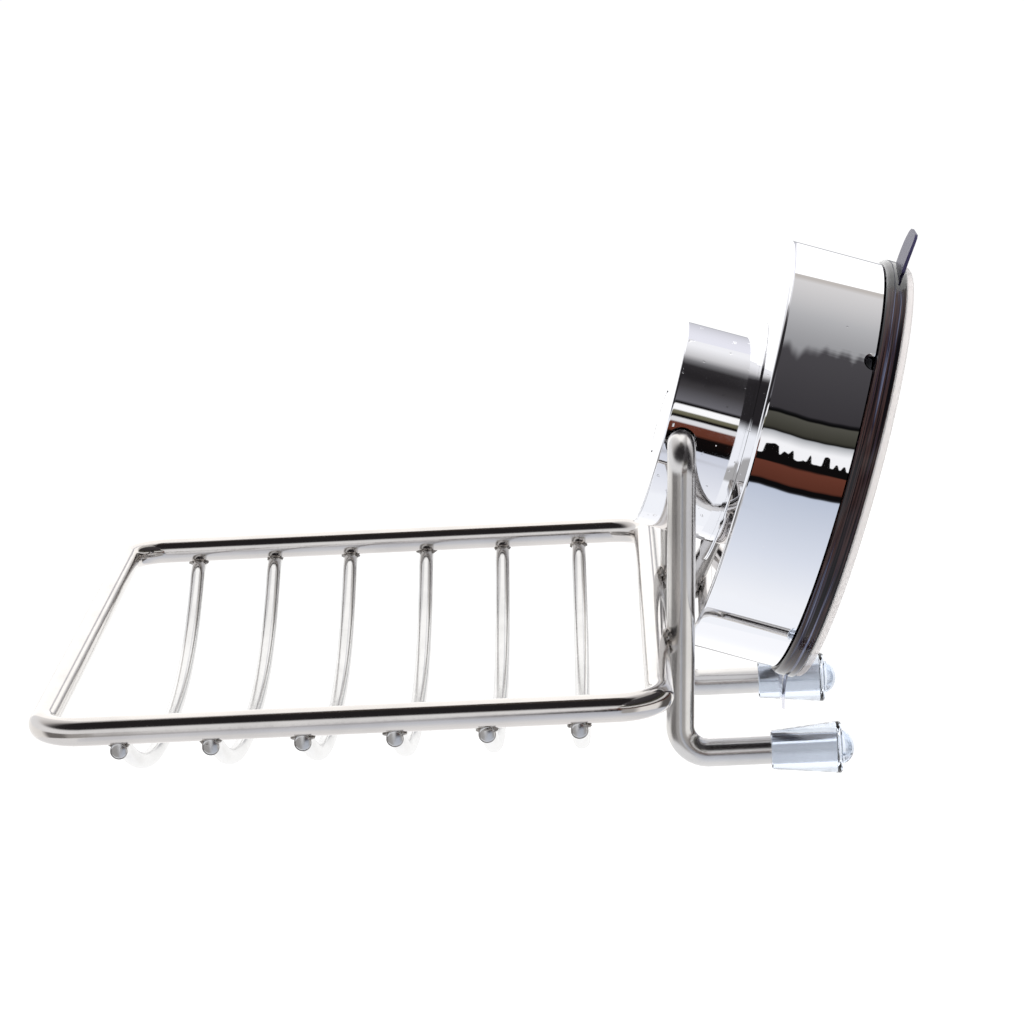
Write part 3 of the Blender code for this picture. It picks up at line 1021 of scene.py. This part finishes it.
@dataclass
class SuctionPad(Mount):
    """The clear pad with its pull tabs and the tacky film on its back."""

    pad_r: float = 40.1 * MM
    film_r: float = 39.5 * MM
    boss_r: float = 13.0 * MM
    edge: float = 1.4 * MM
    back_edge: float = 0.3 * MM
    tab_width: float = 12.0 * MM
    tab_length: float = 6.5 * MM
    tab_root: float = 1.5 * MM
    tab_t: float = 0.7 * MM
    tab_straight: float = 0.55
    tab_round: float = 0.35
    tab_thinning: float = 0.25
    top_lift: float = -0.6 * MM
    bottom_lift: float = -1.5 * MM

    def build(self) -> None:
        """Add the pad, the tabs and the film."""
        inner = self.boss_r + self.clearance
        front = self.pad_back + self.pad_t
        profile = [(inner, self.pad_back), (inner, front)]
        profile += arc((self.pad_r - self.edge, front - self.edge), self.edge, 90, 0, 8)
        corner = (self.pad_r - self.back_edge, self.pad_back + self.back_edge)
        profile += arc(corner, self.back_edge, 0, -90, 4)
        self.add("pad_disc", turned("pad_disc", profile, LARGE_TURN), [Finishes.PAD], Body.BASE, Slot.CLEAR,
                 ["suction_pad"], self.layout.mount)
        film = [(0.0, 0.0), (self.film_r - self.back_edge, 0.0), (self.film_r, self.back_edge),
                (self.film_r, self.film_t), (0.0, self.film_t)]
        self.add("film_disc", turned("film_disc", film, LARGE_TURN, closed=False), [Finishes.FILM], Body.BASE,
                 Slot.FILM, ["gel_film"], self.layout.mount)
        # The top tab's dark finish is painted shade
        self.tab("pull_tab_top", 1.0, self.top_lift, Finishes.TAB)
        self.tab("pull_tab_bottom", -1.0, self.bottom_lift, Finishes.BOSS)

    def tab(self, name: str, way: float, lift: float, finish: Finish) -> None:
        """Add one pull tab, which bends a little out of the pad's plane.

        Args:
            name: The piece's name.
            way: 1 for the top tab and -1 for the bottom one.
            lift: How far its tip bends away from the wall, less than 0 for towards it.
            finish: The tab's finish.
        """
        rows, columns = 16, 24
        half = self.tab_width / 2
        inside = self.pad_r - self.tab_root
        total = self.tab_length + self.tab_root
        base = self.pad_back + self.clearance
        verts = []
        for level in (0.0, self.tab_t):
            for row in range(rows + 1):
                along = row / rows
                past = max(0.0, (along - self.tab_straight) / (1 - self.tab_straight))
                fall = self.tab_round * (1 - math.sqrt(max(0.0, 1 - past ** 2)))
                height = base + level * (1 - self.tab_thinning * along) + lift * along ** 2
                for column in range(columns + 1):
                    side = 2 * column / columns - 1
                    verts.append(Vector((way * (inside + total * along), half * (1 - fall) * side, height)))
        layer = (rows + 1) * (columns + 1)
        faces = []
        for row in range(rows):
            for column in range(columns):
                here = row * (columns + 1) + column
                quad = (here, here + 1, here + columns + 2, here + columns + 1)
                faces.append(quad)
                faces.append(tuple(layer + corner for corner in reversed(quad)))
        rim = [row * (columns + 1) for row in range(rows + 1)]
        rim += [rows * (columns + 1) + column for column in range(1, columns + 1)]
        rim += [row * (columns + 1) + columns for row in range(rows - 1, -1, -1)]
        rim += [column for column in range(columns - 1, 0, -1)]
        for here, there in zip(rim, rim[1:] + rim[:1]):
            faces.append((here, there, layer + there, layer + here))
        mesh = new_mesh(name, verts, faces)
        self.add(name, mesh, [finish], Body.BASE, Slot.CLEAR, matrix=self.layout.mount)


@dataclass
class Dial(Mount):
    """The chrome dial housing."""

    radius: float = 39.0 * MM
    wall: float = 2.0 * MM
    face: float = 2.2 * MM
    edge: float = 0.6 * MM
    edge_support: float = 0.2 * MM
    steps: int = 288
    bore: float = 4.8 * MM
    ring_width: float = 7.0 * MM
    ring_wall: float = 2.0 * MM
    ring_height: float = 7.0 * MM
    bush_r: float = 9.0 * MM
    bush_length: float = 5.4 * MM
    socket_wall: float = 2.2 * MM
    vent_r: float = 1.4 * MM
    vent_edge: float = 0.45 * MM
    vent_turn: float = math.radians(131.0)

    def build(self) -> None:
        """Add the dial with its rounded rim, its inside ribs and its vent."""
        inner = self.radius - self.wall
        inside = self.dial_front - self.face
        rib_in = inner - self.clearance - self.ring_width
        rib_out = rib_in + self.ring_wall
        rib_back = self.dial_back + self.ring_height + self.clearance
        socket_in = self.bush_r + self.clearance
        socket_out = socket_in + self.socket_wall
        bush_back = inside - self.clearance - self.bush_length
        profile = [(self.bore, inside), (self.bore, self.dial_front)]
        profile += arc((self.radius - self.edge, self.dial_front - self.edge), self.edge, 90, 0, 16)
        profile += [(self.radius, self.dial_front - self.edge - self.edge_support)]
        profile += [(self.radius, self.dial_back), (inner, self.dial_back), (inner, inside)]
        profile += [(rib_out, inside), (rib_out, rib_back), (rib_in, rib_back), (rib_in, inside)]
        profile += [(socket_out, inside), (socket_out, bush_back)]
        profile += [(socket_in, bush_back), (socket_in, inside)]
        shell = turned("dial", profile, self.steps)
        start = inner - self.wall
        bore = self.radius - start - self.vent_edge
        wide = self.vent_r + self.vent_edge
        drill = turned("drill", [(0.0, 0.0), (self.vent_r, 0.0), (self.vent_r, bore),
                                 (wide, bore + self.vent_edge), (wide, bore + self.wall),
                                 (0.0, bore + self.wall)], SMALL_TURN, closed=False)
        place = Vector((-math.cos(self.vent_turn) * start, -math.sin(self.vent_turn) * start, self.dial_back))
        drill.transform(Matrix.Translation(place) @ Matrix.Rotation(self.vent_turn + math.pi, 4, "Z")
                        @ Matrix.Rotation(math.pi / 2, 4, "Y"))
        self.add("dial_shell", cut(shell, [drill]), [Finishes.CHROME], Body.DIAL, Slot.PLATE,
                 ["dial_housing"], self.layout.mount)


@dataclass
class Hub(Mount):
    """The chrome hub with its plug, on a washer whose black rim is a painted shadow of the gap between hub
    and dial.
    """

    radius: float = 19.4 * MM
    edge: float = 0.3 * MM
    edge_support: float = 0.2 * MM
    steps: int = 256
    washer_r: float = 23.0 * MM
    washer_gap: float = 0.04 * MM
    washer_shown_t: float = 0.24 * MM
    seam: float = 0.01 * MM
    bore: float = 4.8 * MM
    screw_r: float = 1.8 * MM
    socket: float = 5.3 * MM
    web: float = 3.0 * MM
    plug_r: float = 5.7 * MM
    plug_edge: float = 0.3 * MM
    screw_head: float = 2.0 * MM
    pin_r: float = 2.9 * MM
    pin_depth: float = 3.4 * MM
    pin_offset: float = 0.6 * MM
    pin_end: float = 9.5 * MM
    drill_length: float = 24.0 * MM

    def build(self) -> None:
        """Add the washer, the hub and the plug."""
        mount = self.layout.mount
        front = self.hub_back + self.hub_length
        floor = self.hub_back + self.socket
        web = floor + self.web
        low = self.dial_front + self.washer_gap
        top = low + self.washer_shown_t
        disc = turned("washer_disc", [(self.bore, low), (self.washer_r, low), (self.washer_r, top),
                                      (self.bore, top)], LARGE_TURN)
        # Painted shadow: the faces are chrome and the rim black, for the shaded gap between dial and hub
        for polygon in disc.polygons:
            polygon.material_index = 0 if abs(polygon.normal.z) > 0.5 else 1
        self.add("washer_disc", disc, [Finishes.HUB, Finishes.WASHER], Body.STEM, Slot.WASHER, ["hub_washer"],
                 mount)

        well = self.plug_r + self.clearance
        back = top + self.seam
        inset = self.edge + self.edge_support
        profile = [(self.bore, back), (self.radius, back), (self.radius, front - inset)]
        profile += arc((self.radius - self.edge, front - self.edge), self.edge, 0, 90, 8)
        profile += [(self.radius - inset, front), (well, front), (well, web), (self.screw_r, web),
                    (self.screw_r, floor), (self.bore, floor)]
        shell = turned("hub", profile, self.steps)
        drills = []
        for side in Side:
            drill = turned("drill", [(0.0, 0.0), (self.pin_r, 0.0), (self.pin_r, self.drill_length),
                                     (0.0, self.drill_length)], SMALL_TURN, closed=False)
            place = Vector((self.pin_offset, side.value * self.pin_end, front - self.pin_depth))
            drill.transform(Matrix.Translation(place) @ Matrix.Rotation(-side.value * math.pi / 2, 4, "X"))
            drills.append(drill)
        self.add("hub_shell", cut(shell, drills), [Finishes.HUB], Body.STEM, Slot.PLATE, ["hub"], mount)

        bottom = web + 2 * self.clearance + self.screw_head
        plug = [(0.0, bottom), (self.plug_r, bottom)]
        plug += arc((self.plug_r - self.plug_edge, front - self.plug_edge), self.plug_edge, 0, 90, 4)
        plug += [(0.0, front)]
        self.add("plug_disc", turned("plug_disc", plug, MIDDLE_TURN, closed=False), [Finishes.CHROME],
                 Body.STEM, Slot.PLATE, ["hub_plug"], mount)


@dataclass
class InnerParts(Assembly):
    """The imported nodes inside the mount, which keep their shape and get a finer finish."""

    def build(self) -> None:
        """Dress the inner nodes."""
        finishes = {"stem": Finishes.STEEL, "hub_screw": Finishes.STEEL, "thread_bush": Finishes.BRASS,
                    "pressure_ring": Finishes.INNER, "pad_boss": Finishes.BOSS}
        for name, finish in finishes.items():
            node = self.layout.frame["nodes"][name]
            for place in node.material_slots:
                place.material = finish.material()
            LOG.info("node %s keeps its shape with finish %s", name, finish.name)


class Tent:
    """The tent's colour by direction, in bands of height that differ in front, beside and behind.

    Heights and turns are in degrees, with turn 0 along -Y. The grain of a direction is its share along
    the mount's axis: the side of the dial mirrors another range of grain than the side of the hub.
    """

    STRENGTH = 1.16
    FRONT: Bands = (
        (-90, (240, 241, 244)), (-72, (236, 238, 242)), (-45, (214, 219, 229)), (-20, (194, 201, 214)),
        (-10.6, (185, 193, 208)), (-9.8, (12, 11, 12)), (-7.0, (12, 11, 12)), (-6.0, (86, 46, 35)),
        (2.4, (98, 54, 42)), (3.0, (14, 12, 12)), (5.4, (14, 12, 12)), (6.0, (240, 240, 241)),
        (13, (240, 240, 241)), (17.6, (168, 170, 173)), (18.2, (10, 10, 10)), (19.8, (58, 57, 50)),
        (27, (78, 77, 70)), (27.4, (12, 12, 12)), (28.6, (12, 12, 14)), (29.6, (56, 54, 57)),
        (58, (70, 68, 71)), (90, (64, 62, 66)))
    HUB_FRONT: Bands = (
        (-90, (240, 241, 244)), (-60, (228, 230, 236)), (-13, (198, 202, 213)), (-12, (12, 10, 10)),
        (2, (12, 10, 10)), (4, (92, 50, 38)), (12, (98, 54, 42)), (13.5, (215, 215, 217)),
        (17, (215, 215, 217)), (18, (14, 12, 12)), (20, (14, 12, 12)), (21, (96, 93, 74)),
        (24, (110, 108, 90)), (25, (248, 248, 248)), (30.5, (248, 248, 248)), (31.5, (14, 13, 14)),
        (33, (20, 19, 20)), (35, (104, 103, 108)), (50, (62, 60, 62)), (60, (40, 38, 40)),
        (90, (40, 38, 40)))
    HUB_GRAIN: Edge = (-0.0906, -0.0897)
    FACE_GRAIN: Edge = (-0.04, -0.02)

    # The ragged dark edge in front of the dial, which wanders along the grain
    DRIFT_SCALE = 60.0
    DRIFT_SEED = 7.0
    DRIFT_HEIGHT = 4.0
    RAG_SCALE = 230.0
    RAG_HEIGHT = 6.0
    LUMP_RAGS: Edge = (0.46, 0.54)
    LUMP_HEIGHT = 4.0
    LUMP_FOOT: Edge = (2.4, 3.0)
    LUMP_TOP: Edge = (6.6, 7.1)
    LUMP_SHADE = (14, 12, 12)

    # Cards on the left: the turn at which each ends, the heights of its rise and fall, and its shade
    LEFT_CARDS = (((-3.0, -1.0), (-25.0, -20.0), (15.0, 17.0), (180, 182, 188)),
                  ((-4.0, 2.0), (38.0, 40.0), (54.0, 56.0), (252, 252, 252)))

    # Greys beside the mount, by turn, above a pale part
    SIDE: Bands = ((50, (148, 148, 150)), (95, (176, 176, 177)), (143, (208, 206, 205)),
                   (146.5, (188, 183, 178)))
    HUB_SIDE: Bands = ((50, (38, 36, 38)), (70, (46, 44, 46)), (88, (118, 117, 119)), (108, (196, 195, 196)),
                       (140, (238, 238, 240)))
    SIDE_PALE = (238, 240, 244)
    SIDE_FOOT: Edge = (20.0, 35.0)
    SIDE_START: Edge = (45.0, 57.0)
    SIDE_GRAIN = 0.107
    SIDE_LEAN = 360.0
    SIDE_RAGS = 30.0

    # White behind, with greys that part the turned sides from the white background
    BACK_START: Edge = (148.2, 149.2)
    BACK_LOW = (244, 245, 248)
    BACK_FOOT: Edge = (-60.0, -10.0)
    BACK_WHITE = (1.25, 1.25, 1.25)
    HUB_BACK = ((184, 184, 190), (228, 228, 236))
    HUB_BACK_RISE: Edge = (-10.0, 50.0)
    HUB_BACK_FOOT: Edge = (-20.0, -16.0)
    RIM_FOOT: Edge = (-18.0, -14.0)
    RIM_TOP: Edge = (2.0, 8.0)
    RIM_SHADE = (160, 161, 166)

    # A ring of low cards, by turn, for the standing wires, and a dark roof
    CARDS: Bands = ((-150, (255, 255, 255)), (-92, (240, 240, 240)), (-76, (118, 116, 116)),
                    (-42, (120, 118, 118)), (-30, (165, 164, 164)), (34, (172, 171, 170)),
                    (48, (250, 250, 250)), (92, (250, 250, 250)), (104, (96, 94, 94)), (138, (96, 94, 94)),
                    (146, (255, 255, 255)))
    CARD_FOOT: Edge = (-34.0, -30.0)
    CARD_TOP: Edge = (-2.0, 2.0)
    CARD_START: Edge = (8.0, 10.0)
    ROOF: Edge = (78.0, 84.0)
    ROOF_SHADE = (66, 60, 58)

    def __init__(self, graph: Graph) -> None:
        """Work out the height, the turn and the grain of the direction."""
        way = graph.out(graph.node("ShaderNodeVectorMath", {"operation": "NORMALIZE"}, {0: graph.place()}))
        parts = graph.node("ShaderNodeSeparateXYZ", {}, {0: way})
        x, y, z = (graph.out(parts, name) for name in "XYZ")
        degrees = 180 / math.pi
        self.graph = graph
        self.height = graph.maths("ARCSINE", z) * degrees
        self.turn = graph.maths("ARCTAN2", x, y * -1.0) * degrees
        self.wide = graph.maths("ABSOLUTE", self.turn)
        self.grain = graph.along(way, MOUNT_OUT)
        self.hub = graph.between(self.grain, *self.HUB_GRAIN)
        self.rags = graph.noise(graph.join(self.grain * self.RAG_SCALE), 1.0, 1.0)

    def colour(self) -> Value:
        """Return the colour of the whole tent."""
        graph = self.graph
        lean = (self.grain + self.SIDE_GRAIN) * self.SIDE_LEAN + (self.rags - 0.5) * self.SIDE_RAGS
        colour = graph.mix(graph.between(self.wide + lean, *self.SIDE_START), self.front(), self.side())
        colour = graph.mix(graph.between(self.wide, *self.BACK_START), colour, self.back())
        low = graph.window(self.height, self.CARD_FOOT, self.CARD_TOP)
        low = low * graph.between(self.wide, *self.CARD_START)
        colour = graph.mix(low, colour, graph.ramp(self.turn, self.CARDS, -180.0, 360.0))
        return graph.mix(graph.between(self.height, *self.ROOF), colour, linear(*self.ROOF_SHADE))

    def front(self) -> Value:
        """Return the colour in front: bands for the dial and for the hub, and the cards on the left."""
        graph = self.graph
        drift = graph.noise(graph.join(self.grain * self.DRIFT_SCALE, self.DRIFT_SEED), 1.0, 2.0) - 0.5
        wavy = self.height + drift * self.DRIFT_HEIGHT
        dial, hub = [graph.ramp(wavy, bands, -90.0, 180.0) for bands in (self.FRONT, self.HUB_FRONT)]
        lump = graph.between(self.rags, *self.LUMP_RAGS) * self.LUMP_HEIGHT
        ragged = self.height - lump - (self.rags - 0.5) * self.RAG_HEIGHT
        dark = graph.between(self.height, *self.LUMP_FOOT) * (1.0 - graph.between(ragged, *self.LUMP_TOP))
        colour = graph.mix(self.hub, graph.mix(dark, dial, linear(*self.LUMP_SHADE)), hub)
        for end, rise, fall, shade in self.LEFT_CARDS:
            card = (1.0 - graph.between(self.turn, *end)) * graph.window(self.height, rise, fall)
            colour = graph.mix(card, colour, linear(*shade))
        return colour

    def side(self) -> Value:
        """Return the colour beside the mount."""
        graph = self.graph
        greys = [graph.ramp(self.wide, bands, 50.0, 100.0) for bands in (self.SIDE, self.HUB_SIDE)]
        foot = graph.between(self.height, *self.SIDE_FOOT)
        return graph.mix(foot, linear(*self.SIDE_PALE), graph.mix(self.hub, *greys))

    def back(self) -> Value:
        """Return the colour behind."""
        graph = self.graph
        foot = graph.between(self.height, *self.BACK_FOOT)
        colour = graph.mix(foot, linear(*self.BACK_LOW), self.BACK_WHITE)
        turned_side = 1.0 - graph.between(self.grain, *self.FACE_GRAIN)
        low, high = [linear(*shade) for shade in self.HUB_BACK]
        soft = graph.mix(graph.between(self.height, *self.HUB_BACK_RISE), low, high)
        hub = turned_side * self.hub * graph.between(self.height, *self.HUB_BACK_FOOT)
        colour = graph.mix(hub, colour, soft)
        rim = graph.window(self.height, self.RIM_FOOT, self.RIM_TOP) * turned_side
        return graph.mix(rim, colour, linear(*self.RIM_SHADE))


@dataclass(frozen=True)
class Lamp:
    """A round soft lamp that shines at the origin."""

    name: str
    place: tuple[float, float, float]
    size: float
    power: float


@dataclass
class Studio:
    """The pale floor, the tent that the metal mirrors, the lamps, the world and the camera."""

    floor_z: float = -0.45
    floor_r: float = 40.0
    floor_t: float = 0.02
    floor_colour: Colour = (0.93, 0.93, 0.93)
    floor_glow: float = 0.42
    white: Colour = (1.0, 1.0, 1.0)
    room_light: float = 0.65
    tent_r: float = 6.0
    lamp_list: tuple[Lamp, ...] = (Lamp("soft_lamp_top", (-0.1, -0.2, 1.3), 1.4, 9.0),
                                   Lamp("soft_lamp_front", (-0.9, -1.1, 0.7), 1.0, 6.0))
    eye: tuple[float, float, float] = (-0.045413, -0.686227, 0.143287)
    turn: tuple[float, float, float] = (77.8304, 2.9252, 0.9371)
    lens: float = 131.1971
    sensor: float = 36.0
    sight: float = 50.0

    def build(self) -> None:
        """Set up the studio."""
        self.floor()
        self.tent()
        self.lamps()
        self.world()
        self.camera()
        bpy.context.scene.view_settings.view_transform = "Standard"

    def floor(self) -> None:
        """Add the pale floor, which keeps the holder's shadow."""
        below = self.floor_z - self.floor_t
        mesh = turned("floor", [(0.0, self.floor_z), (self.floor_r, self.floor_z), (self.floor_r, below),
                                (0.0, below)], MIDDLE_TURN, closed=False)
        made, graph = new_material("pale_floor")
        rays = graph.node("ShaderNodeLightPath")
        seen = graph.maths("MAXIMUM", graph.out(rays, "Is Camera Ray"),
                           graph.out(rays, "Is Transmission Ray"))
        paper = graph.out(graph.node("ShaderNodeBsdfDiffuse", {}, {"Color": self.floor_colour}))
        glow = graph.node("ShaderNodeEmission", {}, {"Color": self.white, "Strength": self.floor_glow})
        lit = graph.out(graph.node("ShaderNodeAddShader", {}, {0: paper, 1: graph.out(glow)}))
        graph.finish(graph.blend(seen, paper, lit))
        mesh.materials.append(made)
        item = put("pale_floor", mesh)
        item.visible_glossy = False

    def tent(self) -> None:
        """Add the tent with its dark and pale cards, which only shows in the metal."""
        mesh = turned("tent", arc((0.0, 0.0), self.tent_r, -90, 90, 48), MIDDLE_TURN, closed=False)
        mesh.shade_smooth()
        made, graph = new_material("studio_tent")
        glow = {"Color": Tent(graph).colour(), "Strength": Tent.STRENGTH}
        graph.finish(graph.out(graph.node("ShaderNodeEmission", {}, glow)))
        mesh.materials.append(made)
        item = put("studio_tent", mesh)
        for flag in ("visible_camera", "visible_diffuse", "visible_transmission", "visible_shadow",
                     "visible_volume_scatter"):
            setattr(item, flag, False)

    def lamps(self) -> None:
        """Add the soft lamps."""
        for lamp in self.lamp_list:
            data = bpy.data.lights.new(lamp.name, "AREA")
            data.shape = "DISK"
            data.size = lamp.size
            data.energy = lamp.power
            item = put(lamp.name, data)
            item.location = lamp.place
            item.rotation_euler = (-Vector(lamp.place)).to_track_quat("-Z", "Y").to_euler()
            item.visible_glossy = False

    def world(self) -> None:
        """Light the scene evenly, with a white background."""
        world = bpy.data.worlds.new("white_room")
        bpy.context.scene.world = world
        world.use_nodes = True
        graph = Graph(world.node_tree)
        rays = graph.node("ShaderNodeLightPath")
        seen = graph.maths("MAXIMUM", graph.out(rays, "Is Camera Ray"), graph.out(rays, "Is Glossy Ray"))
        seen = graph.maths("MAXIMUM", seen, graph.out(rays, "Is Transmission Ray"))
        lights = [graph.out(graph.node("ShaderNodeBackground", {}, {"Color": self.white, "Strength": power}))
                  for power in (self.room_light, 1.0)]
        graph.node("ShaderNodeOutputWorld", {}, {"Surface": graph.blend(seen, *lights)})

    def camera(self) -> None:
        """Add the camera at the photograph's viewing angle."""
        data = bpy.data.cameras.new("camera")
        data.sensor_width = self.sensor
        data.lens = self.lens
        data.clip_end = self.sight
        item = put("camera", data)
        item.location = self.eye
        item.rotation_euler = [math.radians(angle) for angle in self.turn]
        bpy.context.scene.camera = item


def main() -> None:
    """Load the frame, build every sub-assembly and set up the studio."""
    logging.basicConfig(level=logging.INFO, format="%(message)s")
    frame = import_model()
    layout = Layout(frame)
    Rack(layout).build()
    for side in Side:
        Hanger(layout, side).build()
    SuctionPad(layout).build()
    Dial(layout).build()
    Hub(layout).build()
    InnerParts(layout).build()
    Studio().build()


if __name__ == "__main__":
    main()
